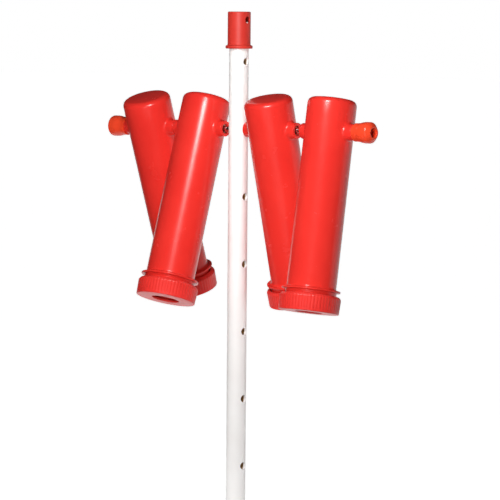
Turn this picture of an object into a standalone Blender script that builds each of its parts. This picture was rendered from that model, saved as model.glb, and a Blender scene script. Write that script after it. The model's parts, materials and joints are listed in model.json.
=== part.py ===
"""Cross-drilled tube pole that carries four screw-cap canisters swinging on one axle.

Metres, +Z up. The origin is the centre of the pole's foot, the pole runs up Z and the axle
runs along X. Each canister hangs from a pivot empty on the axle, with its own tilt.
"""
import math

import bmesh
import bpy
from mathutils import Matrix

# Fits
FIT_GAP = 0.0003             # between two pieces that touch, seat or run in each other
MERGE = 0.00001              # vertices closer than this are one
BURIED = 0.0006              # how far a joined-on shape starts inside its base

# Pole and its cross holes
POLE_DIAMETER = 0.0220
POLE_WALL = 0.0028
POLE_LENGTH = 0.6096
HOLE_PITCH = 0.0762
FIRST_HOLE_HEIGHT = 0.0318
HOLE_COUNT = 8
AXLE_HOLE = 6                # the hole, counted from 0 at the foot, that carries the axle

# Socket cap on the pole's top end
SOCKET_WALL = 0.0017
SOCKET_HEIGHT = 0.0417
SOCKET_TOP = 0.0024
SOCKET_DEPTH = 0.0299        # length of pole inside the cap
SOCKET_EDGE = 0.0008
RIM_STAND = 0.0023
RIM_HEIGHT = 0.0037
PIN_HOLE_DIAMETER = 0.0082
PIN_HOLE_DROP = 0.0094       # below the cap's top

# Axle and the knobs on its ends
AXLE_DIAMETER = 0.0079
KNOB_LENGTH = 0.0252
KNOB_NECK_DIAMETER = 0.0206
KNOB_HEAD_DIAMETER = 0.0238
KNOB_NECK_LENGTH = 0.0055
KNOB_FLARE_LENGTH = 0.0073
KNOB_NOSE_WIDTH = 0.0046     # slope round the outer end
KNOB_NOSE_HEIGHT = 0.0042
KNOB_BORE_DIAMETER = 0.0108
KNOB_BORE_DEPTH = 0.0095
KNOB_WEB = 0.0020            # left between the axle's socket and the outer bore

# Free lengths of axle, from the pole outwards: to the first canister, to the second, to the knob
LEFT_GAPS = (0.0078, 0.0005, 0.0003)
RIGHT_GAPS = (0.0022, 0.0080, 0.0014)

# Canister shell
CANISTER_DIAMETER = 0.0552
CANISTER_WALL = 0.0024
BODY_LENGTH = 0.2144         # closed top to the underside of the collar
AXLE_DROP = 0.0366           # closed top to the axle
TOP_EDGE = 0.0050
COLLAR_STAND = 0.0051
COLLAR_THICKNESS = 0.0024
NECK_STAND = 0.0010
NECK_LENGTH = 0.0190
NECK_LIP = 0.0006
TILTS_DEG = (-19.3, 17.3, -14.2, 9.5)   # foot of each canister towards -Y, left to right

# Bosses at the axle and the sleeve through them
BOSS_STAND = 0.0090
BOSS_ROOT_DIAMETER = 0.0182
BOSS_TIP_DIAMETER = 0.0178
BOSS_INWARD = 0.0030         # how far a boss reaches inside the wall
SLEEVE_WALL = 0.0008
SLEEVE_RECESS = 0.0030       # sleeve end below the boss end

# Thread of neck and screw cap
THREAD_PITCH = 0.0045
THREAD_HEIGHT = 0.0011
THREAD_ROOT = 0.0026
THREAD_CREST = 0.0014
THREAD_CLEARANCE = 0.0005
THREAD_START = 0.0023        # first turn's middle above the neck's end
NECK_TURNS = 2.0
CAP_TURNS = 1.5

# Screw cap and its gasket
CAP_WALL = 0.0040
CAP_TAPER = 0.0006
CAP_FLOOR = 0.0026
CAP_EDGE = 0.0015
CAP_SHOULDER_WIDTH = 0.0022  # slope at the top of the grip
CAP_SHOULDER_HEIGHT = 0.0028
CAP_LEAD_IN = 0.0005         # chamfer inside the cap's mouth
CAP_HOLE_DIAMETER = 0.0310
COLLAR_TO_CAP = 0.0042
GASKET_THICKNESS = 0.0014
GASKET_INSET = 0.0008        # gasket's inner and outer edge, back from the neck's wall

# Facets
BODY_SIDES = 24
SMALL_SIDES = 16
EDGE_STEPS = 3

# Worked out from the sizes above
pole_radius = POLE_DIAMETER / 2
axle_radius = AXLE_DIAMETER / 2
axle_height = FIRST_HOLE_HEIGHT + AXLE_HOLE * HOLE_PITCH
axle_bore_radius = axle_radius + FIT_GAP
body_radius = CANISTER_DIAMETER / 2
inner_radius = body_radius - CANISTER_WALL
neck_radius = body_radius + NECK_STAND
crest_radius = neck_radius + THREAD_HEIGHT
cap_bore_radius = crest_radius + THREAD_CLEARANCE
cap_radius = cap_bore_radius + CAP_WALL
boss_reach = body_radius + BOSS_STAND
sleeve_radius = axle_bore_radius + SLEEVE_WALL
collar_under = AXLE_DROP - BODY_LENGTH
neck_end = collar_under - NECK_LENGTH
gasket_top = neck_end - FIT_GAP
cap_floor_top = gasket_top - GASKET_THICKNESS - FIT_GAP
cap_bottom = cap_floor_top - CAP_FLOOR
cap_top = collar_under - COLLAR_TO_CAP


def clear_scene():
    for item in list(bpy.data.objects):
        bpy.data.objects.remove(item, do_unlink=True)


def linear(channel):
    return channel / 12.92 if channel <= 0.04045 else ((channel + 0.055) / 1.055) ** 2.4


def make_material(name, colour, roughness, metallic=0.0):
    """A Principled material from an sRGB colour written as six hex digits."""
    material = bpy.data.materials.new(name)
    material.use_nodes = True
    shader = material.node_tree.nodes["Principled BSDF"]
    channels = [linear(int(colour[i:i + 2], 16) / 255) for i in (0, 2, 4)]
    shader.inputs["Base Color"].default_value = (*channels, 1.0)
    shader.inputs["Roughness"].default_value = roughness
    shader.inputs["Metallic"].default_value = metallic
    return material


def mesh_from(bm, name):
    """Close, orient and smooth a bmesh, and store it as a mesh."""
    bmesh.ops.remove_doubles(bm, verts=bm.verts, dist=MERGE)
    bmesh.ops.recalc_face_normals(bm, faces=bm.faces)
    mesh = bpy.data.meshes.new(name)
    bm.to_mesh(mesh)
    bm.free()
    mesh.shade_smooth()
    mesh.set_sharp_from_angle(angle=math.radians(30))
    return mesh


def turned(name, outline, sides, ring=False):
    """Turn an outline of (radius, height) points round Z; a ring's outline closes on itself.

    The first seam lies half a facet off +X, so a facet and not an edge faces each cross hole.
    """
    bm = bmesh.new()
    verts = [bm.verts.new((radius, 0.0, height)) for radius, height in outline]
    edges = [bm.edges.new(pair) for pair in zip(verts, verts[1:])]
    if ring:
        edges.append(bm.edges.new((verts[-1], verts[0])))
    bmesh.ops.spin(bm, geom=verts + edges, axis=(0, 0, 1), cent=(0, 0, 0),
                   angle=math.tau, steps=sides, use_merge=True)
    bm.transform(Matrix.Rotation(math.pi / sides, 4, "Z"))
    return mesh_from(bm, name)


def rounded(radius, height, edge, start_deg, end_deg):
    """Points of a rounded corner whose centre is at (radius, height)."""
    points = []
    for step in range(EDGE_STEPS + 1):
        angle = math.radians(start_deg + (end_deg - start_deg) * step / EDGE_STEPS)
        points.append((radius + edge * math.cos(angle), height + edge * math.sin(angle)))
    return points


def cone_along_x(name, start, end, start_radius, end_radius, height, sides):
    """A closed cone or cylinder along X at the given height, with turned()'s half-facet start."""
    bm = bmesh.new()
    stand = Matrix.Translation(((start + end) / 2, 0.0, height))
    turn = Matrix.Rotation(math.pi / 2, 4, "Y") @ Matrix.Rotation(math.pi / sides, 4, "Z")
    bmesh.ops.create_cone(bm, cap_ends=True, segments=sides, radius1=start_radius,
                          radius2=end_radius, depth=end - start, matrix=stand @ turn)
    return mesh_from(bm, name)


def thread_rib(name, root, crest, first, turns):
    """A helical rib from a root radius to a crest radius; its ends run out into the root."""
    bm = bmesh.new()
    steps = round(turns * BODY_SIDES)
    rings = []
    for step in range(steps + 1):
        angle = math.tau * step / BODY_SIDES
        middle = first + THREAD_PITCH * step / BODY_SIDES
        top = root if step in (0, steps) else crest
        corners = [(root, -THREAD_ROOT / 2), (root, THREAD_ROOT / 2),
                   (top, THREAD_CREST / 2), (top, -THREAD_CREST / 2)]
        if step in (0, steps):
            corners[2] = ((root + crest) / 2, THREAD_CREST / 2)
            corners[3] = ((root + crest) / 2, -THREAD_CREST / 2)
        rings.append([bm.verts.new((radius * math.cos(angle), radius * math.sin(angle), middle + rise))
                      for radius, rise in corners])
    for here, after in zip(rings, rings[1:]):
        for side in range(4):
            other = (side + 1) % 4
            bm.faces.new((here[side], here[other], after[other], after[side]))
    bm.faces.new(rings[0])
    bm.faces.new(rings[-1])
    return mesh_from(bm, name)


def combine(mesh, steps):
    """Run Boolean steps of (operation, mesh) on a mesh and keep the result as a plain mesh."""
    base = bpy.data.objects.new(mesh.name, mesh)
    bpy.context.scene.collection.objects.link(base)
    tools = []
    for operation, tool_mesh in steps:
        tool = bpy.data.objects.new(tool_mesh.name, tool_mesh)
        tool.hide_render = True
        tool.display_type = "WIRE"
        bpy.context.scene.collection.objects.link(tool)
        modifier = base.modifiers.new(tool_mesh.name, "BOOLEAN")
        modifier.operation = operation
        modifier.object = tool
        tools.append(tool)
    bm = bmesh.new()
    bm.from_object(base, bpy.context.evaluated_depsgraph_get())
    for item in [base, *tools]:
        bpy.data.objects.remove(item, do_unlink=True)
    return mesh_from(bm, mesh.name + "_joined")


def place(name, mesh, material, parent=None):
    """Add a named piece, with its own material, under an optional parent."""
    piece = bpy.data.objects.new(name, mesh)
    bpy.context.scene.collection.objects.link(piece)
    if not mesh.materials:
        mesh.materials.append(material)
    piece.material_slots[0].link = "OBJECT"
    piece.material_slots[0].material = material
    piece.parent = parent
    return piece


def hole_heights():
    return [FIRST_HOLE_HEIGHT + number * HOLE_PITCH for number in range(HOLE_COUNT)]


def pole_mesh():
    inner = pole_radius - POLE_WALL
    outline = [(pole_radius, POLE_LENGTH), (pole_radius, 0.0), (inner, 0.0), (inner, POLE_LENGTH)]
    tube = turned("pole", outline, BODY_SIDES, ring=True)
    cuts = [("DIFFERENCE", cone_along_x("pole_hole", -POLE_DIAMETER, POLE_DIAMETER, axle_bore_radius,
                                        axle_bore_radius, height, SMALL_SIDES))
            for height in hole_heights()]
    return combine(tube, cuts)


def socket_cap_mesh():
    bore = pole_radius + FIT_GAP
    outer = bore + SOCKET_WALL
    bottom = POLE_LENGTH - SOCKET_DEPTH
    top = bottom + SOCKET_HEIGHT
    outline = [(0.0, top)]
    outline += rounded(outer - SOCKET_EDGE, top - SOCKET_EDGE, SOCKET_EDGE, 90, 0)
    outline += [(outer, bottom + RIM_HEIGHT), (outer + RIM_STAND, bottom + RIM_HEIGHT),
                (outer + RIM_STAND, bottom), (bore, bottom), (bore, top - SOCKET_TOP),
                (0.0, top - SOCKET_TOP)]
    cup = turned("socket_cap", outline, BODY_SIDES)
    hole = cone_along_x("pin_hole", -2 * outer, 2 * outer, PIN_HOLE_DIAMETER / 2,
                        PIN_HOLE_DIAMETER / 2, top - PIN_HOLE_DROP, SMALL_SIDES)
    return combine(cup, [("DIFFERENCE", hole)])


def canister_mesh():
    """Closed-top shell with collar, threaded neck and two bored bosses, its origin on the axle."""
    outline = [(0.0, AXLE_DROP)]
    outline += rounded(body_radius - TOP_EDGE, AXLE_DROP - TOP_EDGE, TOP_EDGE, 90, 0)
    outline += [(body_radius, collar_under + COLLAR_THICKNESS),
                (body_radius + COLLAR_STAND, collar_under + COLLAR_THICKNESS),
                (body_radius + COLLAR_STAND, collar_under), (neck_radius, collar_under),
                (neck_radius, neck_end + NECK_LIP), (neck_radius - NECK_LIP, neck_end),
                (inner_radius, neck_end), (inner_radius, AXLE_DROP - CANISTER_WALL),
                (0.0, AXLE_DROP - CANISTER_WALL)]
    shell = turned("canister", outline, BODY_SIDES)
    rib = thread_rib("neck_thread", neck_radius - BURIED, crest_radius, neck_end + THREAD_START,
                     NECK_TURNS)
    bosses = []
    for side in (-1, 1):
        start = inner_radius - BOSS_INWARD
        radii = (BOSS_ROOT_DIAMETER / 2, BOSS_TIP_DIAMETER / 2)
        ends = (start, boss_reach)
        if side < 0:
            radii = radii[::-1]
            ends = (-boss_reach, -start)
        bosses.append(("UNION", cone_along_x("boss", *ends, *radii, 0.0, SMALL_SIDES)))
    bore = cone_along_x("boss_bore", -2 * boss_reach, 2 * boss_reach, sleeve_radius + FIT_GAP,
                        sleeve_radius + FIT_GAP, 0.0, SMALL_SIDES)
    return combine(shell, [("UNION", rib), *bosses, ("DIFFERENCE", bore)])


def sleeve_mesh():
    reach = boss_reach - SLEEVE_RECESS
    outline = [(sleeve_radius, reach), (sleeve_radius, -reach), (axle_bore_radius, -reach),
               (axle_bore_radius, reach)]
    sleeve = turned("axle_sleeve", outline, SMALL_SIDES, ring=True)
    sleeve.transform(Matrix.Rotation(math.pi / 2, 4, "Y"))
    return sleeve


def screw_cap_mesh():
    bottom_radius = cap_radius - CAP_TAPER
    outline = [(CAP_HOLE_DIAMETER / 2, cap_bottom)]
    outline += rounded(bottom_radius - CAP_EDGE, cap_bottom + CAP_EDGE, CAP_EDGE, -90, 0)
    outline += [(cap_radius, cap_top - CAP_SHOULDER_HEIGHT), (cap_radius - CAP_SHOULDER_WIDTH, cap_top),
                (cap_bore_radius + CAP_LEAD_IN, cap_top), (cap_bore_radius, cap_top - CAP_LEAD_IN),
                (cap_bore_radius, cap_floor_top), (CAP_HOLE_DIAMETER / 2, cap_floor_top)]
    cap = turned("screw_cap", outline, BODY_SIDES, ring=True)
    rib = thread_rib("cap_thread", cap_bore_radius + BURIED, cap_bore_radius - THREAD_HEIGHT,
                     neck_end + THREAD_START + THREAD_PITCH / 2, CAP_TURNS)
    return combine(cap, [("UNION", rib)])


def gasket_mesh():
    outer = neck_radius - GASKET_INSET
    inner = inner_radius + GASKET_INSET
    bottom = gasket_top - GASKET_THICKNESS
    outline = [(outer, gasket_top), (outer, bottom), (inner, bottom), (inner, gasket_top)]
    return turned("cap_gasket", outline, BODY_SIDES, ring=True)


def knob_mesh():
    """Knob with its inner face at the origin, flaring out along +X to a bored, sloping end."""
    neck = KNOB_NECK_DIAMETER / 2
    head = KNOB_HEAD_DIAMETER / 2
    outer_bore = KNOB_BORE_DIAMETER / 2
    socket_end = KNOB_LENGTH - KNOB_BORE_DEPTH - KNOB_WEB
    outline = [(0.0, socket_end), (axle_bore_radius, socket_end), (axle_bore_radius, 0.0), (neck, 0.0),
               (neck, KNOB_NECK_LENGTH), (head, KNOB_NECK_LENGTH + KNOB_FLARE_LENGTH)]
    outline += [(head, KNOB_LENGTH - KNOB_NOSE_HEIGHT), (head - KNOB_NOSE_WIDTH, KNOB_LENGTH),
                (outer_bore, KNOB_LENGTH), (outer_bore, KNOB_LENGTH - KNOB_BORE_DEPTH),
                (0.0, KNOB_LENGTH - KNOB_BORE_DEPTH)]
    knob = turned("end_knob", outline, SMALL_SIDES)
    knob.transform(Matrix.Rotation(math.pi / 2, 4, "Y"))
    return knob


def stations(gaps):
    """Distances from the pole's axis to the two canisters and to the knob's inner face."""
    inner = pole_radius + gaps[0] + boss_reach
    outer = inner + boss_reach + gaps[1] + boss_reach
    return inner, outer, outer + boss_reach + gaps[2]


def build():
    clear_scene()
    white = make_material("white_pvc", "FAF8F6", 0.38)
    dull_red = make_material("socket_red", "E4493C", 0.42)
    knob_red = make_material("knob_red", "F2502F", 0.35)
    red = make_material("canister_red", "E52F29", 0.30)
    cap_red = make_material("cap_red", "DE322B", 0.36)
    steel = make_material("zinc_plated_steel", "C9C9C6", 0.25, metallic=1.0)
    nylon = make_material("natural_nylon", "E9E3D2", 0.50)
    rubber = make_material("black_rubber", "26262A", 0.80)

    place("pole", pole_mesh(), white)
    place("socket_cap", socket_cap_mesh(), dull_red)

    left_inner, left_outer, left_knob = stations(LEFT_GAPS)
    right_inner, right_outer, right_knob = stations(RIGHT_GAPS)
    socket_depth = KNOB_LENGTH - KNOB_BORE_DEPTH - KNOB_WEB - FIT_GAP
    place("axle_rod", cone_along_x("axle_rod", -left_knob - socket_depth, right_knob + socket_depth,
                                   axle_radius, axle_radius, axle_height, SMALL_SIDES), steel)
    knob = knob_mesh()
    right = place("end_knob_right", knob, knob_red)
    right.location = (right_knob, 0.0, axle_height)
    left = place("end_knob_left", knob, knob_red)
    left.location = (-left_knob, 0.0, axle_height)
    left.rotation_euler.z = math.pi

    canister, sleeve, cap, gasket = canister_mesh(), sleeve_mesh(), screw_cap_mesh(), gasket_mesh()
    places = (-left_outer, -left_inner, right_inner, right_outer)
    for number, (across, tilt) in enumerate(zip(places, TILTS_DEG), start=1):
        pivot = bpy.data.objects.new(f"pivot_{number}", None)
        bpy.context.scene.collection.objects.link(pivot)
        pivot.location = (across, 0.0, axle_height)
        pivot.rotation_euler.x = -math.radians(tilt)
        place(f"canister_{number}", canister, red, pivot)
        place(f"axle_sleeve_{number}", sleeve, nylon, pivot)
        place(f"screw_cap_{number}", cap, cap_red, pivot)
        place(f"cap_gasket_{number}", gasket, rubber, pivot)


build()
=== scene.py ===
# Looks of the cross-drilled pole with its four swinging canisters. Lengths are in metres.
import json
import math

import bmesh
import bpy
from mathutils import Matrix, Vector


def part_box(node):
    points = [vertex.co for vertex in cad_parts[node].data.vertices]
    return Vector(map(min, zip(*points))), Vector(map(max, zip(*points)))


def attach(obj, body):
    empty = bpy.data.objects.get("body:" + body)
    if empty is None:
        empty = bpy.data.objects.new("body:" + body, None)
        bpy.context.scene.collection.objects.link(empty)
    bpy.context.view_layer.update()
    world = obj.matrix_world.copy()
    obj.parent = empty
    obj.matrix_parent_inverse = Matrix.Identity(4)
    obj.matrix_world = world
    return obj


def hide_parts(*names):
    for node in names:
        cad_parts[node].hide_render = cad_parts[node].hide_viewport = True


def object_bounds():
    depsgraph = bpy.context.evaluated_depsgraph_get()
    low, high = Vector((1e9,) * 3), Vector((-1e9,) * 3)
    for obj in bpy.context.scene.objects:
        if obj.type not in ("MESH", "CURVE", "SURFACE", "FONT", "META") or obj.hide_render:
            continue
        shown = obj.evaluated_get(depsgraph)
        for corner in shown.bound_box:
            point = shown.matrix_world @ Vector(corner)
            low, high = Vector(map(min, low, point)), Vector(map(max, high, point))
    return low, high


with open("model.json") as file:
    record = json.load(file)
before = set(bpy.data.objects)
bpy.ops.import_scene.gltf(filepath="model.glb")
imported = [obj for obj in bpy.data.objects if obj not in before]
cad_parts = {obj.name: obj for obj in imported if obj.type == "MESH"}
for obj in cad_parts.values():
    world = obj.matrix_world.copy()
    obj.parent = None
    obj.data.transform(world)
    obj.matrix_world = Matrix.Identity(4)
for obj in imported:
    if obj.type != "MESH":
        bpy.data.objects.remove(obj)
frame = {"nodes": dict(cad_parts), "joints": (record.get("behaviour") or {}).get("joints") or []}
cadLow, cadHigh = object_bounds()
joints = {joint["name"]: joint for joint in frame["joints"]}
nearEnough = 0.00002
print("frame loaded with", len(frame["nodes"]), "nodes")


def onlySelect(piece):
    bpy.ops.object.select_all(action="DESELECT")
    piece.select_set(True)
    bpy.context.view_layer.objects.active = piece


def pickPoints(piece, wanted):
    # selects the points of the piece in edit mode that pass the test
    bpy.ops.mesh.select_mode(type="VERT")
    bpy.ops.mesh.select_all(action="DESELECT")
    mesh = bmesh.from_edit_mesh(piece.data)
    for point in mesh.verts:
        point.select = wanted(point.co)
    mesh.select_flush_mode()
    bmesh.update_edit_mesh(piece.data)


def movePoints(piece, place, selectedOnly=False):
    mesh = bmesh.from_edit_mesh(piece.data)
    for point in mesh.verts:
        if point.select or not selectedOnly:
            point.co = place(point.co)
    bmesh.update_edit_mesh(piece.data)


def drawRing(piece, place):
    # draws the selected open edge out once more and puts each of its points in place
    bpy.ops.mesh.extrude_region_move()
    movePoints(piece, place, selectedOnly=True)


def turnPiece(name, outline, sides, ring=False, cornerSteps=5):
    # draws an outline of (radius, height, corner) points, rounds its corners and spins it round Z
    bpy.ops.object.select_all(action="DESELECT")
    bpy.ops.mesh.primitive_plane_add(size=0.001, location=(outline[0][0], 0, outline[0][1]))
    piece = bpy.context.object
    piece.name = name
    piece.data.name = name
    bpy.ops.object.transform_apply(location=True, rotation=True, scale=True)
    bpy.ops.object.mode_set(mode="EDIT")
    bpy.ops.mesh.merge(type="CENTER")
    for here, after in zip(outline, outline[1:]):
        step = (after[0] - here[0], 0, after[1] - here[1])
        bpy.ops.mesh.extrude_vertices_move(TRANSFORM_OT_translate={"value": step})
    if ring:
        ends = [Vector((point[0], 0, point[1])) for point in (outline[0], outline[-1])]
        pickPoints(piece, lambda co: any((co - end).length < nearEnough for end in ends))
        bpy.ops.mesh.edge_face_add()
    for radius, height, corner in outline:
        if corner:
            spot = Vector((radius, 0, height))
            pickPoints(piece, lambda co: (co - spot).length < nearEnough)
            bpy.ops.mesh.bevel(affect="VERTICES", offset=corner, segments=cornerSteps)
    bpy.ops.mesh.select_all(action="SELECT")
    bpy.ops.mesh.spin(steps=sides, angle=math.tau, center=(0, 0, 0), axis=(0, 0, 1))
    closeSkin()
    return piece


def closeSkin():
    bpy.ops.mesh.select_all(action="SELECT")
    bpy.ops.mesh.remove_doubles(threshold=0.000004)
    bpy.ops.mesh.normals_make_consistent(inside=False)
    bpy.ops.object.mode_set(mode="OBJECT")


def joinOrCut(piece, tool, operation):
    onlySelect(piece)
    bpy.ops.object.modifier_add(type="BOOLEAN")
    modifier = piece.modifiers[-1]
    modifier.operation = operation
    modifier.solver = "EXACT"
    modifier.object = tool
    bpy.ops.object.modifier_apply(modifier=modifier.name)
    onlySelect(tool)
    bpy.ops.object.delete()
    onlySelect(piece)


def crossDrill(piece, radius, heights):
    # cuts round holes along X at each height
    for height in heights:
        bpy.ops.object.select_all(action="DESELECT")
        bpy.ops.mesh.primitive_cylinder_add(vertices=64, radius=radius, depth=2 * drillReach,
                                            location=(0, 0, height), rotation=(0, math.pi / 2, 0))
        joinOrCut(piece, bpy.context.object, "DIFFERENCE")


def smoothOver(piece, angle=35):
    onlySelect(piece)
    bpy.ops.object.shade_smooth_by_angle(angle=math.radians(angle))


def setInPlace(piece, matrix):
    onlySelect(piece)
    piece.matrix_world = matrix
    bpy.ops.object.transform_apply(location=True, rotation=True, scale=True)


def copyPiece(piece, name, matrix):
    onlySelect(piece)
    bpy.ops.object.duplicate()
    copy = bpy.context.object
    copy.name = name
    copy.data.name = name
    setInPlace(copy, matrix)
    return copy


def screwRib(name, make, root, crest, low, turns, startTurn):
    # sweeps a small trapezium round Z; its crest fades out at both ends
    bpy.ops.object.select_all(action="DESELECT")
    bpy.ops.mesh.primitive_plane_add(size=1, rotation=(math.pi / 2, 0, 0))
    rib = bpy.context.object
    rib.name = name
    bpy.ops.object.transform_apply(location=True, rotation=True, scale=True)
    bpy.ops.object.mode_set(mode="EDIT")
    movePoints(rib, lambda co: Vector((
        crest if co.x > 0 else root, 0,
        low + co.z * (make["crestWidth"] if co.x > 0 else make["rootWidth"]))))
    bpy.ops.mesh.select_all(action="SELECT")
    bpy.ops.transform.rotate(value=startTurn, orient_axis="Z", center_override=(0, 0, 0))
    bpy.ops.object.mode_set(mode="OBJECT")
    bpy.ops.object.modifier_add(type="SCREW")
    screw = rib.modifiers[-1]
    screw.axis = "Z"
    screw.angle = math.tau * turns
    screw.screw_offset = make["pitch"] * turns
    screw.steps = round(make["stepsPerTurn"] * turns)
    screw.render_steps = screw.steps
    screw.use_merge_vertices = False
    bpy.ops.object.modifier_apply(modifier=screw.name)
    bpy.ops.object.mode_set(mode="EDIT")
    bpy.ops.mesh.select_all(action="SELECT")
    bpy.ops.mesh.fill_holes(sides=4)
    high = low + make["pitch"] * turns
    fadeHeight = make["pitch"] * make["fadeTurns"]
    thinnest = 0.02

    def fade(co):
        radius = math.hypot(co.x, co.y)
        share = min(1, max(thinnest, min(co.z - low, high - co.z) / fadeHeight + thinnest))
        if abs(radius - root) < abs(crest - root) / 2:
            return co
        newRadius = root + (radius - root) * share
        return Vector((co.x * newRadius / radius, co.y * newRadius / radius, co.z))

    movePoints(rib, fade)
    closeSkin()
    return rib


def linearColour(hexCode):
    channels = [int(hexCode[i:i + 2], 16) / 255 for i in (0, 2, 4)]
    return (*[c / 12.92 if c <= 0.04045 else ((c + 0.055) / 1.055) ** 2.4 for c in channels], 1)


def addNode(tree, kind, settings=None, links=None):
    node = tree.nodes.new("ShaderNode" + kind)
    for key, value in (settings or {}).items():
        if key in node.inputs:
            node.inputs[key].default_value = value
        else:
            setattr(node, key, value)
    for key, source in (links or {}).items():
        tree.links.new(source, node.inputs[key])
    return node


def newMaterial(name, sockets):
    material = bpy.data.materials.new(name)
    material.use_nodes = True
    tree = material.node_tree
    shader = tree.nodes["Principled BSDF"]
    for key, value in sockets.items():
        shader.inputs[key].default_value = value
    coordinates = addNode(tree, "TexCoord").outputs["Object"]
    return material, tree, shader, coordinates


def perMetre(millimetres):
    return 1000 / millimetres


studio = {
    "aim": (0.0158, 0.0032, 0.3529),
    "azimuth": 39.78,
    "elevation": 3.21,
    "distance": 4.328,
    "roll": 0.463,
    "lens": 276.1,
    "lampAimShare": 0.65,
    "floorHalf": 40,
    "floorGap": 0.0004,
    "floorColour": "F4F4F4",
    "floorGlow": 0.95,
    # painted shadow round the pole: the floor glows less close to it, fading out between the two
    # radii below
    "paintedShadowGlow": 0.60,
    "paintedShadowRadius": 0.15,
    "paintedShadowFadeRadius": 0.50,
    "horizonGlow": 1.0,
    "overheadGlow": 0.03,
    "overheadStart": 0.04,
    "overheadEnd": 0.24,
}


def rayFrom(azimuth, elevation):
    a, e = math.radians(azimuth), math.radians(elevation)
    return Vector((math.sin(a) * math.cos(e), -math.cos(a) * math.cos(e), math.sin(e)))


def aimAt(item, place, target, roll=0.0):
    turn = (Vector(place) - Vector(target)).to_track_quat("Z", "Y").to_matrix().to_4x4()
    rolled = turn @ Matrix.Rotation(math.radians(roll), 4, "Z")
    item.matrix_world = Matrix.Translation(place) @ rolled


def makeCamera():
    camera = bpy.data.objects.new("camera", bpy.data.cameras.new("camera"))
    bpy.context.scene.collection.objects.link(camera)
    camera.data.lens = studio["lens"]
    camera.data.sensor_width = 36
    camera.data.clip_end = 200
    target = Vector(studio["aim"])
    place = target + rayFrom(studio["azimuth"], studio["elevation"]) * studio["distance"]
    aimAt(camera, place, target, studio["roll"])
    bpy.context.scene.camera = camera


lamps = {
    # azimuth, elevation, distance, width, height, power in watts, what it adds
    "keyPanel": (33, 39, 0.85, 0.18, 0.22, 3.8, "colour"),
    "lowPanel": (28, 3, 1.20, 0.50, 0.40, 9.5, "colour"),
    "streakPanel": (33, 39, 0.55, 0.12, 0.10, 3.6, "gloss"),
}
cards = {
    # azimuth, distance, length, height, lying: black cards that keep one side of the pieces
    # dark; the lying one takes the floor's light off the fronts
    "leftCard": (-50, 0.45, 1.4, 1.1, False),
    "rightCard": (84, 0.55, 0.7, 1.1, False),
    "floorCard": (40, 0.55, 1.3, 0.9, True),
}


def makeLamps():
    target = Vector((0, 0, cadHigh.z * studio["lampAimShare"]))
    for name, (azimuth, elevation, distance, width, height, power, adds) in lamps.items():
        data = bpy.data.lights.new(name, "AREA")
        data.shape = "RECTANGLE"
        data.size = width
        data.size_y = height
        data.energy = power
        lamp = bpy.data.objects.new(name, data)
        bpy.context.scene.collection.objects.link(lamp)
        aimAt(lamp, target + rayFrom(azimuth, elevation) * distance, target)
        lamp.visible_camera = False
        lamp.visible_glossy = adds == "gloss"
        lamp.visible_diffuse = adds == "colour"


def makeCards():
    lyingHeight = cadLow.z - studio["floorGap"] / 2
    for name, (azimuth, distance, length, height, lying) in cards.items():
        bpy.ops.object.select_all(action="DESELECT")
        bpy.ops.mesh.primitive_plane_add(size=1)
        card = bpy.context.object
        card.name = name
        card.scale = (length, height, 1)
        bpy.ops.object.transform_apply(location=False, rotation=False, scale=True)
        middle = Vector((0, 0, lyingHeight if lying else height / 2))
        place = middle + rayFrom(azimuth, 0) * distance
        if lying:
            turn = Matrix.Rotation(math.radians(azimuth), 4, "Z")
            card.matrix_world = Matrix.Translation(place) @ turn
        else:
            aimAt(card, place, middle)
        card.visible_camera = False
        card.visible_shadow = not lying
        # matt black cardboard
        cardboard = {"Base Color": linearColour("0A0A0A"), "Roughness": 0.9}
        card.data.materials.append(newMaterial("blackCard", cardboard)[0])


def makeWorld():
    world = bpy.data.worlds.new("studio")
    bpy.context.scene.world = world
    world.use_nodes = True
    tree = world.node_tree
    background = tree.nodes["Background"]
    background.inputs["Color"].default_value = (1, 1, 1, 1)
    direction = addNode(tree, "TexCoord").outputs["Generated"]
    height = addNode(tree, "SeparateXYZ", links={0: direction}).outputs["Z"]
    glow = addNode(tree, "MapRange", {
        "interpolation_type": "SMOOTHSTEP", "From Min": studio["overheadStart"],
        "From Max": studio["overheadEnd"], "To Min": studio["horizonGlow"],
        "To Max": studio["overheadGlow"]}, {"Value": height})
    tree.links.new(glow.outputs[0], background.inputs["Strength"])


def makeFloor():
    bpy.ops.object.select_all(action="DESELECT")
    bpy.ops.mesh.primitive_plane_add(size=2 * studio["floorHalf"],
                                     location=(0, 0, cadLow.z - studio["floorGap"]))
    floor = bpy.context.object
    floor.name = "floor"
    bpy.ops.object.transform_apply(location=True, rotation=True, scale=True)
    # seamless paper roll: matt and pale, lit through from below; the glow is lower close to the
    # pole, a painted shadow
    material, tree, shader, coordinates = newMaterial("seamlessPaper", {
        "Base Color": linearColour(studio["floorColour"]), "Roughness": 0.9,
        "Specular IOR Level": 0.1, "Emission Color": (1, 1, 1, 1)})
    away = addNode(tree, "VectorMath", {"operation": "LENGTH"}, {0: coordinates}).outputs["Value"]
    glow = addNode(tree, "MapRange", {
        "interpolation_type": "SMOOTHSTEP", "From Min": studio["paintedShadowRadius"],
        "From Max": studio["paintedShadowFadeRadius"], "To Min": studio["paintedShadowGlow"],
        "To Max": studio["floorGlow"]}, {"Value": away})
    tree.links.new(glow.outputs[0], shader.inputs["Emission Strength"])
    floor.data.materials.append(material)


bpy.context.scene.view_settings.view_transform = "Standard"
makeCamera()
makeLamps()
makeCards()
makeWorld()
makeFloor()
print("camera, lamps and floor set")


def unevenColour(tree, noise, low, high, first, second):
    # two near colours of one pigment; the second takes over as the noise goes from low to high
    spread = addNode(tree, "MapRange", {"From Min": low, "From Max": high},
                     {"Value": noise}).outputs[0]
    colour = addNode(tree, "Mix", {"data_type": "RGBA"}, {0: spread})
    colour.inputs[6].default_value = linearColour(first)
    colour.inputs[7].default_value = linearColour(second)
    return colour.outputs[2]


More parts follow.
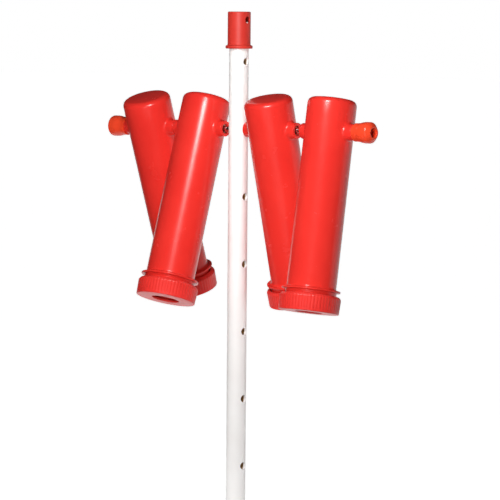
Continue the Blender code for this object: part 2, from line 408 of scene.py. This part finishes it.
def wornSurface(tree, shader, wear, roughness, change, relief, depth):
    # uneven gloss from the wear noise, and faint relief from the other one
    rough = addNode(tree, "MapRange", {
        "From Min": 0.3, "From Max": 0.7, "To Min": roughness - change,
        "To Max": roughness + change}, {"Value": wear}).outputs[0]
    tree.links.new(rough, shader.inputs["Roughness"])
    bump = addNode(tree, "Bump", {"Strength": 1.0, "Distance": depth}, {"Height": relief})
    tree.links.new(bump.outputs[0], shader.inputs["Normal"])


def mouldedPlastic(name, look):
    # skin of a thermoplastic straight from its mould: pigment a little uneven, faint orange peel
    material, tree, shader, coordinates = newMaterial(name, {
        "IOR": look["ior"], "Roughness": look["roughness"],
        "Specular IOR Level": look["gloss"]})
    cloud = addNode(tree, "TexNoise", {"Scale": perMetre(look["cloudSize"]), "Detail": 3.0},
                    {"Vector": coordinates}).outputs["Fac"]
    colour = unevenColour(tree, cloud, 0.35, 0.65, look["colour"], look["cloudColour"])
    tree.links.new(colour, shader.inputs["Base Color"])
    rubbed = addNode(tree, "TexNoise", {"Scale": perMetre(look["rubSize"]), "Detail": 5.0,
                                        "Roughness": 0.6}, {"Vector": coordinates}).outputs["Fac"]
    peel = addNode(tree, "TexNoise", {"Scale": perMetre(look["peelSize"]), "Detail": 2.0},
                   {"Vector": coordinates}).outputs["Fac"]
    wornSurface(tree, shader, rubbed, look["roughness"], look["rubChange"], peel,
                look["peelDepth"])
    return material


def extrudedPvc(look):
    # drawn tube of unplasticised PVC: near white, satin, with fine lines along its length
    material, tree, shader, coordinates = newMaterial("whitePvc", {"IOR": look["ior"]})
    along = addNode(tree, "Mapping", {"Scale": (1, 1, look["stretch"])}, {"Vector": coordinates})
    lines = addNode(tree, "TexNoise", {"Scale": perMetre(look["lineSize"]), "Detail": 4.0},
                    {"Vector": along.outputs[0]}).outputs["Fac"]
    cloud = addNode(tree, "TexNoise", {"Scale": perMetre(look["cloudSize"]), "Detail": 4.0},
                    {"Vector": coordinates}).outputs["Fac"]
    skin = unevenColour(tree, cloud, 0.45, 0.75, look["colour"], look["cloudColour"])
    # brown inside the bore, told from the skin by its distance from the axis
    flat = addNode(tree, "Mapping", {"Scale": (1, 1, 0)}, {"Vector": coordinates}).outputs[0]
    out = addNode(tree, "VectorMath", {"operation": "LENGTH"}, {0: flat}).outputs["Value"]
    skinShare = addNode(tree, "MapRange", {
        "From Min": look["boreTintRadius"], "From Max": look["skinFromRadius"]},
        {"Value": out}).outputs[0]
    colour = addNode(tree, "Mix", {"data_type": "RGBA"}, {0: skinShare})
    colour.inputs[6].default_value = linearColour(look["boreTintColour"])
    tree.links.new(skin, colour.inputs[7])
    tree.links.new(colour.outputs[2], shader.inputs["Base Color"])
    wornSurface(tree, shader, lines, look["roughness"], look["lineChange"], lines,
                look["lineDepth"])
    return material


def platedSteel(look):
    # drawn steel rod with bright zinc plate: bluish white metal, fine lines along the rod
    material, tree, shader, coordinates = newMaterial("zincPlatedSteel", {"Metallic": 1.0})
    along = addNode(tree, "Mapping", {"Scale": (look["stretch"], 1, 1)}, {"Vector": coordinates})
    lines = addNode(tree, "TexNoise", {"Scale": perMetre(look["lineSize"]), "Detail": 4.0},
                    {"Vector": along.outputs[0]}).outputs["Fac"]
    colour = unevenColour(tree, lines, 0, 1, look["colour"], look["dullColour"])
    tree.links.new(colour, shader.inputs["Base Color"])
    wornSurface(tree, shader, lines, look["roughness"], look["lineChange"], lines,
                look["lineDepth"])
    return material


# drain-pipe PVC: cool near white, brown inside
whitePvc = extrudedPvc({
    "colour": "FAF8F6", "cloudColour": "F3EFEC", "cloudSize": 60, "ior": 1.53,
    "boreTintColour": "D9A566", "boreTintRadius": 0.0083, "skinFromRadius": 0.0087,
    "roughness": 0.34, "lineSize": 0.9, "stretch": 0.02, "lineChange": 0.05,
    "lineDepth": 0.000006})
# blow-moulded polypropylene: saturated red with one clean soft streak down each canister
canisterRed = mouldedPlastic("polypropyleneRed", {
    "colour": "E4332B", "cloudColour": "DF2F28", "cloudSize": 45, "ior": 1.49, "gloss": 0.26,
    "roughness": 0.25, "rubSize": 14, "rubChange": 0.03, "peelSize": 2.6, "peelDepth": 0.000010})
# injection-moulded polypropylene: the canisters' red, duller over the fine ribs
capRed = mouldedPlastic("polypropyleneCapRed", {
    "colour": "E63630", "cloudColour": "DE302A", "cloudSize": 30, "ior": 1.49, "gloss": 0.3,
    "roughness": 0.34, "rubSize": 8, "rubChange": 0.04, "peelSize": 1.4, "peelDepth": 0.000010})
# injection-moulded polypropylene with more orange in it, small sharp highlights
knobRed = mouldedPlastic("polypropyleneKnobRed", {
    "colour": "EE492B", "cloudColour": "E84226", "cloudSize": 20, "ior": 1.49, "gloss": 0.3,
    "roughness": 0.26, "rubSize": 8, "rubChange": 0.03, "peelSize": 1.6, "peelDepth": 0.000008})
# low-density polyethylene: a waxy red without clear highlights, darker than the canisters' red;
# part of that darkness is painted shade against the lamps that stand close above it
socketRedPaintedShade = mouldedPlastic("polyethyleneRedPaintedShade", {
    "colour": "CE3A2F", "cloudColour": "C6332A", "cloudSize": 25, "ior": 1.51, "gloss": 0.16,
    "roughness": 0.45, "rubSize": 6, "rubChange": 0.05, "peelSize": 1.2, "peelDepth": 0.000014})
# undyed nylon of plain bushes: cream and waxy
naturalNylon = mouldedPlastic("naturalNylon", {
    "colour": "E9E3D2", "cloudColour": "E1D9C4", "cloudSize": 12, "ior": 1.53, "gloss": 0.5,
    "roughness": 0.48, "rubSize": 4, "rubChange": 0.05, "peelSize": 0.9, "peelDepth": 0.000010})
# cut rubber sheet: near black, matt, faint grain
blackRubber = mouldedPlastic("blackRubber", {
    "colour": "26262A", "cloudColour": "2E2E31", "cloudSize": 9, "ior": 1.52, "gloss": 0.5,
    "roughness": 0.78, "rubSize": 3, "rubChange": 0.08, "peelSize": 0.6, "peelDepth": 0.00003})
# bright zinc on drawn rod: bluish white, lines along its length
zincSteel = platedSteel({
    "colour": "CFD1D3", "dullColour": "B9BBBC", "roughness": 0.22, "lineSize": 0.5,
    "stretch": 0.03, "lineChange": 0.06, "lineDepth": 0.000003})
print("materials made")


def finishPiece(piece, material, body, slotName, *nodes):
    piece.data.materials.clear()
    piece.data.materials.append(material)
    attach(piece, body)
    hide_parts(*nodes)


poleMake = {
    "radius": 0.0110,
    "innerRadius": 0.0082,
    "cutEdge": 0.0002,
    "holeRadius": 0.00425,
    "firstHole": 0.0318,
    "holePitch": 0.0762,
    "holeCount": 8,
    "sides": 128,
}
drillReach = 0.02


def makePole():
    low, high = (corner.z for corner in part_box("pole"))
    edge = poleMake["cutEdge"]
    pole = turnPiece("tubePole", [
        (poleMake["radius"], low, edge), (poleMake["radius"], high, edge),
        (poleMake["innerRadius"], high, edge), (poleMake["innerRadius"], low, edge)],
        poleMake["sides"], ring=True, cornerSteps=2)
    heights = [poleMake["firstHole"] + poleMake["holePitch"] * number
               for number in range(poleMake["holeCount"])]
    crossDrill(pole, poleMake["holeRadius"], heights)
    smoothOver(pole)
    finishPiece(pole, whitePvc, "stand", "white_pvc", "pole")


socketMake = {
    "bore": 0.0113,
    "radius": 0.0130,
    "rimRadius": 0.0153,
    "rimHeight": 0.0037,
    "rimFillet": 0.0012,
    "rimEdge": 0.0011,
    "topEdge": 0.0014,
    "topThickness": 0.0024,
    "partingStand": 0.00016,
    "partingDepth": 0.001,
    "mouthEdge": 0.0003,
    "innerEdge": 0.0006,
    "pinHoleRadius": 0.0041,
    "pinHoleDrop": 0.0094,
    "sides": 128,
}


def makeSocketCap():
    low, high = (corner.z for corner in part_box("socket_cap"))
    rimTop = low + socketMake["rimHeight"]
    cap = turnPiece("socketCap", [
        (0, high, 0), (socketMake["radius"], high, socketMake["topEdge"]),
        (socketMake["radius"], rimTop, socketMake["rimFillet"]),
        (socketMake["rimRadius"], rimTop, socketMake["rimEdge"]),
        (socketMake["rimRadius"], low, socketMake["rimEdge"]),
        (socketMake["bore"], low, socketMake["mouthEdge"]),
        (socketMake["bore"], high - socketMake["topThickness"], socketMake["innerEdge"]),
        (0, high - socketMake["topThickness"], 0)], socketMake["sides"])

    # parting line of the two mould halves, one column of points along the front and the back
    def parting(co):
        skin = socketMake["radius"] - socketMake["partingDepth"]
        if abs(co.x) > nearEnough or co.xy.length < skin:
            return co
        return co + Vector((0, math.copysign(socketMake["partingStand"], co.y), 0))

    onlySelect(cap)
    bpy.ops.object.mode_set(mode="EDIT")
    movePoints(cap, parting)
    bpy.ops.object.mode_set(mode="OBJECT")
    crossDrill(cap, socketMake["pinHoleRadius"], [high - socketMake["pinHoleDrop"]])
    smoothOver(cap)
    finishPiece(cap, socketRedPaintedShade, "top_cap", "socket_red", "socket_cap")


makePole()
makeSocketCap()
print("pole and socket cap made")


axleMake = {"radius": 0.00395, "endEdge": 0.0004, "sides": 64}
axleHeight = joints["canister_swing_1"]["pos_m"][2]


def makeAxle():
    low, high = (corner.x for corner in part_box("axle_rod"))
    axle = turnPiece("axle", [
        (0, high, 0), (axleMake["radius"], high, axleMake["endEdge"]),
        (axleMake["radius"], low, axleMake["endEdge"]), (0, low, 0)],
        axleMake["sides"], cornerSteps=3)
    lyingAlongX = Matrix.Rotation(math.pi / 2, 4, "Y")
    setInPlace(axle, Matrix.Translation((0, 0, axleHeight)) @ lyingAlongX)
    smoothOver(axle)
    finishPiece(axle, zincSteel, "stand", "zinc_plated_steel", "axle_rod")


knobMake = {
    "neckRadius": 0.0103,
    "headRadius": 0.0119,
    "neckLength": 0.0055,
    "flareLength": 0.0073,
    "flareRound": 0.0024,
    "noseWidth": 0.0046,
    "noseHeight": 0.0042,
    "noseRound": 0.0012,
    "boreRadius": 0.0054,
    "boreDepth": 0.0095,
    "boreEdge": 0.0007,
    "boreEnd": 0.0006,
    "socketRadius": 0.00425,
    "socketDepth": 0.0137,
    "faceEdge": 0.0003,
    "sides": 96,
}


def makeKnobs():
    innerFaces = {"left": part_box("end_knob_left")[1].x, "right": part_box("end_knob_right")[0].x}
    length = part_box("end_knob_right")[1].x - innerFaces["right"]
    flareEnd = knobMake["neckLength"] + knobMake["flareLength"]
    noseRadius = knobMake["headRadius"] - knobMake["noseWidth"]
    knob = turnPiece("knob", [
        (0, knobMake["socketDepth"], 0), (knobMake["socketRadius"], knobMake["socketDepth"], 0),
        (knobMake["socketRadius"], 0, knobMake["faceEdge"]),
        (knobMake["neckRadius"], 0, knobMake["faceEdge"]),
        (knobMake["neckRadius"], knobMake["neckLength"], knobMake["flareRound"]),
        (knobMake["headRadius"], flareEnd, knobMake["flareRound"]),
        (knobMake["headRadius"], length - knobMake["noseHeight"], knobMake["noseRound"]),
        (noseRadius, length, knobMake["boreEdge"]),
        (knobMake["boreRadius"], length, knobMake["boreEdge"]),
        (knobMake["boreRadius"], length - knobMake["boreDepth"], knobMake["boreEnd"]),
        (0, length - knobMake["boreDepth"], 0)], knobMake["sides"])
    smoothOver(knob)
    for side, turn in (("left", -math.pi / 2), ("right", math.pi / 2)):
        place = Matrix.Translation((innerFaces[side], 0, axleHeight))
        copy = copyPiece(knob, side + "Knob", place @ Matrix.Rotation(turn, 4, "Y"))
        finishPiece(copy, knobRed, "stand", "knob_red", "end_knob_" + side)
    onlySelect(knob)
    bpy.ops.object.delete()


makeAxle()
makeKnobs()
print("axle and knobs made")


# one canister is modelled round Z, with the axle through the origin along X, and then copied
canisterMake = {
    "bodyRadius": 0.0276,
    "innerRadius": 0.0252,
    "topHeight": 0.0366,
    "topThickness": 0.0024,
    "topEdge": 0.0065,
    "collarRadius": 0.0327,
    "collarTop": -0.1754,
    "collarUnder": -0.1778,
    "collarFillet": 0.0026,
    "collarEdge": 0.0009,
    "underEdge": 0.0006,
    "neckRadius": 0.0286,
    "neckEnd": -0.1968,
    "neckLip": 0.0006,
    "neckBoreEdge": 0.0004,
    "innerTopRound": 0.0030,
    "sides": 128,
}
bossMake = {
    "windowColumns": 10,
    "windowRows": 20,
    "windowHalf": 0.0130,
    "flareRadius": 0.0115,
    "rootRadius": 0.0091,
    "tipRadius": 0.0089,
    "stand": 0.0090,
    "tipEdge": 0.0005,
    "boreRadius": 0.00535,
    "boreEdge": 0.0004,
    "inwardEnd": 0.0222,
    "inwardFlare": 0.0106,
    "inwardFillet": 0.0022,
    "fadeStand": 0.0055,
    "flareSteps": 6,
    "edgeSteps": 4,
}
threadMake = {
    "pitch": 0.0045,
    "height": 0.0011,
    "rootWidth": 0.0026,
    "crestWidth": 0.0014,
    "start": 0.0023,
    "buried": 0.0006,
    "neckTurns": 2.0,
    "capTurns": 1.5,
    "neckStartTurn": 0.011,
    "capStartTurn": 0.009,
    "fadeTurns": 0.08,
    "stepsPerTurn": 96,
}


def squareAngle(across, up):
    # angle round the boss of a point on the window's square edge, evenly spaced along each side
    if abs(across) >= abs(up):
        return math.pi / 4 * up / across + (0 if across > 0 else math.pi)
    return math.pi / 2 - math.pi / 4 * across / up + (0 if up > 0 else math.pi)


def bossRings():
    # (radius, stand above the wall, share of the wall's curve) from the wall to the boss's bore
    make = bossMake
    flare = make["flareRadius"] - make["rootRadius"]
    rings = []
    for step in range(make["flareSteps"] + 1):
        angle = math.pi / 2 * step / make["flareSteps"]
        rings.append((make["flareRadius"] - flare * math.sin(angle), flare * (1 - math.cos(angle))))
    edge = make["tipEdge"]
    rings.append((make["tipRadius"], make["stand"] - edge))
    for step in range(1, make["edgeSteps"] + 1):
        angle = math.pi / 2 * step / make["edgeSteps"]
        rings.append((make["tipRadius"] - edge * (1 - math.cos(angle)),
                      make["stand"] - edge * (1 - math.sin(angle))))
    rings.append((make["boreRadius"] + make["boreEdge"], make["stand"]))
    rings.append((make["boreRadius"], make["stand"] - make["boreEdge"]))
    return rings


def makeBoss(piece, side):
    make, outer, inner = bossMake, canisterMake["bodyRadius"], canisterMake["innerRadius"]
    halfAngle = math.tau * make["windowColumns"] / canisterMake["sides"]
    half = make["windowHalf"]

    def inWindow(co):
        angle = math.atan2(co.y, co.x * side)
        return abs(angle) < halfAngle and abs(co.z) < half and co.xy.length > inner - 0.001

    # a square of both walls is taken away round the axle
    bpy.ops.mesh.select_mode(type="FACE")
    bpy.ops.mesh.select_all(action="DESELECT")
    mesh = bmesh.from_edit_mesh(piece.data)
    for face in mesh.faces:
        face.select = inWindow(face.calc_center_median())
    bmesh.update_edit_mesh(piece.data)
    bpy.ops.mesh.delete(type="FACE")

    # the outer open edge is picked and drawn out ring by ring
    def onEdge(co, radius):
        angle = math.atan2(co.y, co.x * side)
        if abs(angle) > halfAngle + 0.001 or abs(co.z) > half + nearEnough:
            return False
        return abs(co.xy.length - radius) < nearEnough and (
            abs(abs(co.z) - half) < nearEnough or abs(abs(angle) - halfAngle) < 0.001)

    pickPoints(piece, lambda co: onEdge(co, outer))

    def squarePlace(wall, phi, share, circle):
        # between the window's edge, at share 0, and a circle on the wall, at share 1
        turn = (phi + math.pi / 4) % math.tau
        along = (turn % (math.pi / 2)) / (math.pi / 4) - 1
        quarter = int(turn // (math.pi / 2))
        column, row = ((1, along), (-along, 1), (-1, -along), (along, -1))[quarter]
        y = wall * math.sin(column * halfAngle) * (1 - share) + circle * math.cos(phi) * share
        z = row * half * (1 - share) + circle * math.sin(phi) * share
        return Vector((side * math.sqrt(wall ** 2 - y ** 2), y, z))

    def firstRing(co):
        phi = squareAngle(math.asin(co.y / outer) / halfAngle, co.z / half)
        return squarePlace(outer, phi, 0.5, make["flareRadius"])

    def phiOf(co, wall, circle, share):
        # finds a drawn point's angle again from its place between square and circle
        best = math.atan2(co.z, co.y)
        for _ in range(30):
            place = squarePlace(wall, best % math.tau, share, circle)
            error = math.atan2(co.z, co.y) - math.atan2(place.z, place.y)
            best += (error + math.pi) % math.tau - math.pi
        return best % math.tau

    drawRing(piece, firstRing)
    drawRing(piece, lambda co: squarePlace(outer, phiOf(co, outer, make["flareRadius"], 0.5), 1,
                                           make["flareRadius"]))
    for radius, stand in bossRings()[1:]:
        curve = max(0, 1 - stand / make["fadeStand"]) ** 2

        def place(co):
            phi = math.atan2(co.z, co.y)
            y = radius * math.cos(phi)
            wall = math.sqrt(outer ** 2 - y ** 2) * curve + outer * (1 - curve)
            return Vector((side * (wall + stand), y, radius * math.sin(phi)))

        drawRing(piece, place)
    bore, edge = make["boreRadius"], make["boreEdge"]
    for radius, x in ((bore, make["inwardEnd"] + edge), (bore + edge, make["inwardEnd"]),
                      (make["rootRadius"] - edge, make["inwardEnd"]),
                      (make["rootRadius"], make["inwardEnd"] + edge),
                      (make["rootRadius"], inner - make["inwardFillet"])):
        drawRing(piece, lambda co: Vector((
            side * x, radius * math.cos(math.atan2(co.z, co.y)),
            radius * math.sin(math.atan2(co.z, co.y)))))
    circle = make["inwardFlare"]
    drawRing(piece, lambda co: squarePlace(inner, math.atan2(co.z, co.y) % math.tau, 1, circle))
    drawRing(piece, lambda co: squarePlace(inner, math.atan2(co.z, co.y) % math.tau, 0.5, circle))
    drawRing(piece, lambda co: squarePlace(inner, phiOf(co, inner, circle, 0.5), 0, circle))


def makeCanister():
    make = canisterMake
    top, body, inner = make["topHeight"], make["bodyRadius"], make["innerRadius"]
    rows = [bossMake["windowHalf"] * (1 - 2 * row / bossMake["windowRows"])
            for row in range(bossMake["windowRows"] + 1)]
    outline = [(0, top, 0), (body, top, make["topEdge"])]
    outline += [(body, row, 0) for row in rows]
    outline += [
        (body, make["collarTop"], make["collarFillet"]),
        (make["collarRadius"], make["collarTop"], make["collarEdge"]),
        (make["collarRadius"], make["collarUnder"], make["collarEdge"]),
        (make["neckRadius"], make["collarUnder"], make["underEdge"]),
        (make["neckRadius"], make["neckEnd"], make["neckLip"]),
        (inner, make["neckEnd"], make["neckBoreEdge"])]
    outline += [(inner, row, 0) for row in reversed(rows)]
    outline += [(inner, top - make["topThickness"], make["innerTopRound"]),
                (0, top - make["topThickness"], 0)]
    canister = turnPiece("canister", outline, make["sides"])
    onlySelect(canister)
    bpy.ops.object.mode_set(mode="EDIT")
    for side in (1, -1):
        makeBoss(canister, side)
    bpy.ops.mesh.select_all(action="SELECT")
    bpy.ops.mesh.remove_doubles(threshold=nearEnough)
    bpy.ops.mesh.normals_make_consistent(inside=False)
    bpy.ops.object.mode_set(mode="OBJECT")
    rib = screwRib("neckRib", threadMake, root=make["neckRadius"] - threadMake["buried"],
                   crest=make["neckRadius"] + threadMake["height"],
                   low=make["neckEnd"] + threadMake["start"], turns=threadMake["neckTurns"],
                   startTurn=threadMake["neckStartTurn"])
    joinOrCut(canister, rib, "UNION")
    smoothOver(canister)
    return canister


sleeveMake = {"radius": 0.00505, "bore": 0.00425, "reach": 0.0336, "edge": 0.0003, "sides": 64}


def makeSleeve():
    make = sleeveMake
    sleeve = turnPiece("sleeve", [
        (make["radius"], make["reach"], make["edge"]),
        (make["radius"], -make["reach"], make["edge"]),
        (make["bore"], -make["reach"], make["edge"]), (make["bore"], make["reach"], make["edge"])],
        make["sides"], ring=True, cornerSteps=3)
    setInPlace(sleeve, Matrix.Rotation(math.pi / 2, 4, "Y"))
    smoothOver(sleeve)
    return sleeve


capMake = {
    "radius": 0.0342,
    "bottomRadius": 0.0336,
    "bore": 0.0302,
    "top": -0.1820,
    "bottom": -0.2014,
    "floorTop": -0.1988,
    "shoulderWidth": 0.0022,
    "shoulderHeight": 0.0028,
    "bottomEdge": 0.0009,
    "gripEdge": 0.0009,
    "topEdge": 0.0007,
    "innerEdge": 0.0005,
    "holeRadius": 0.0155,
    "ribs": 56,
    "ribSteps": 8,
    "ribDepth": 0.00040,
    "plainBottom": 0.0016,
    "grooveRows": (0, 0.06, 0.2, 0.5, 0.8),
    "grooveStart": 0.0010,
    "grooveEnd": 0.0020,
    "plainTop": 0.0002,
}


def makeScrewCap():
    make = capMake
    radius, low, top = make["radius"], make["bottom"], make["top"]
    gripTop = top - make["shoulderHeight"]
    gripBottom = low + make["plainBottom"]
    outline = [(make["holeRadius"], low, make["innerEdge"]),
               (make["bottomRadius"], low, make["bottomEdge"])]
    for share in make["grooveRows"]:
        height = gripBottom + (gripTop - gripBottom) * share
        wide = make["bottomRadius"] + (radius - make["bottomRadius"]) * share
        outline.append((wide, height, 0))
    outline += [
        (radius, gripTop, make["gripEdge"]),
        (radius - make["shoulderWidth"], top, make["topEdge"]),
        (make["bore"], top, make["innerEdge"]), (make["bore"], make["floorTop"], make["innerEdge"]),
        (make["holeRadius"], make["floorTop"], make["innerEdge"])]
    sides = make["ribs"] * make["ribSteps"]
    cap = turnPiece("screwCap", outline, sides, ring=True, cornerSteps=4)

    # grooves are pressed in between the ribs; they run out above the bottom edge
    def groove(co):
        wide = co.xy.length
        if co.z > top - make["plainTop"] or wide < radius - make["shoulderWidth"]:
            return co
        start = min(1, max(0, (co.z - gripBottom) / make["grooveStart"]))
        end = min(1, max(0, (top - co.z) / make["grooveEnd"]))
        between = 1 - abs(math.cos(make["ribs"] / 2 * math.atan2(co.y, co.x)))
        newWide = wide - make["ribDepth"] * between * start * end
        return Vector((co.x * newWide / wide, co.y * newWide / wide, co.z))

    onlySelect(cap)
    bpy.ops.object.mode_set(mode="EDIT")
    movePoints(cap, groove)
    bpy.ops.object.mode_set(mode="OBJECT")
    rib = screwRib("capRib", threadMake, root=make["bore"] + threadMake["buried"],
                   crest=make["bore"] - threadMake["height"],
                   low=canisterMake["neckEnd"] + threadMake["start"] + threadMake["pitch"] / 2,
                   turns=threadMake["capTurns"], startTurn=threadMake["capStartTurn"])
    joinOrCut(cap, rib, "UNION")
    smoothOver(cap)
    return cap


gasketMake = {
    "outer": 0.0278, "inner": 0.0260, "top": -0.1971, "bottom": -0.1985,
    "edge": 0.0003, "sides": 96}


def makeGasket():
    make = gasketMake
    gasket = turnPiece("gasket", [
        (make["outer"], make["top"], make["edge"]), (make["outer"], make["bottom"], make["edge"]),
        (make["inner"], make["bottom"], make["edge"]), (make["inner"], make["top"], make["edge"])],
        make["sides"], ring=True, cornerSteps=3)
    smoothOver(gasket)
    return gasket


def hangingFrame(number):
    # the canister's own axes: origin on the axle, Z up its length
    origin = Vector(joints[f"canister_swing_{number}"]["pos_m"])
    up = -Vector(joints[f"cap_turn_{number}"]["axis"]).normalized()
    across = Vector((1, 0, 0))
    turn = Matrix((across, up.cross(across), up)).transposed().to_4x4()
    return Matrix.Translation(origin) @ turn


def makeCanisters():
    canister, sleeve, cap, gasket = makeCanister(), makeSleeve(), makeScrewCap(), makeGasket()
    print("canister, sleeve, screw cap and gasket modelled")
    for number in range(1, 5):
        place = hangingFrame(number)
        finishPiece(copyPiece(canister, f"canisterShell{number}", place), canisterRed,
                    f"canister_{number}", "canister_red", f"canister_{number}")
        finishPiece(copyPiece(sleeve, f"bossSleeve{number}", place), naturalNylon,
                    f"canister_{number}", "natural_nylon", f"axle_sleeve_{number}")
        finishPiece(copyPiece(gasket, f"neckGasket{number}", place), blackRubber,
                    f"gasket_{number}", "black_rubber", f"cap_gasket_{number}")
        finishPiece(copyPiece(cap, f"ribbedCap{number}", place), capRed,
                    f"screw_cap_{number}", "cap_red", f"screw_cap_{number}")
    for pattern in (canister, sleeve, cap, gasket):
        onlySelect(pattern)
        bpy.ops.object.delete()


makeCanisters()
print("canisters in place")

bpy.context.view_layer.update()
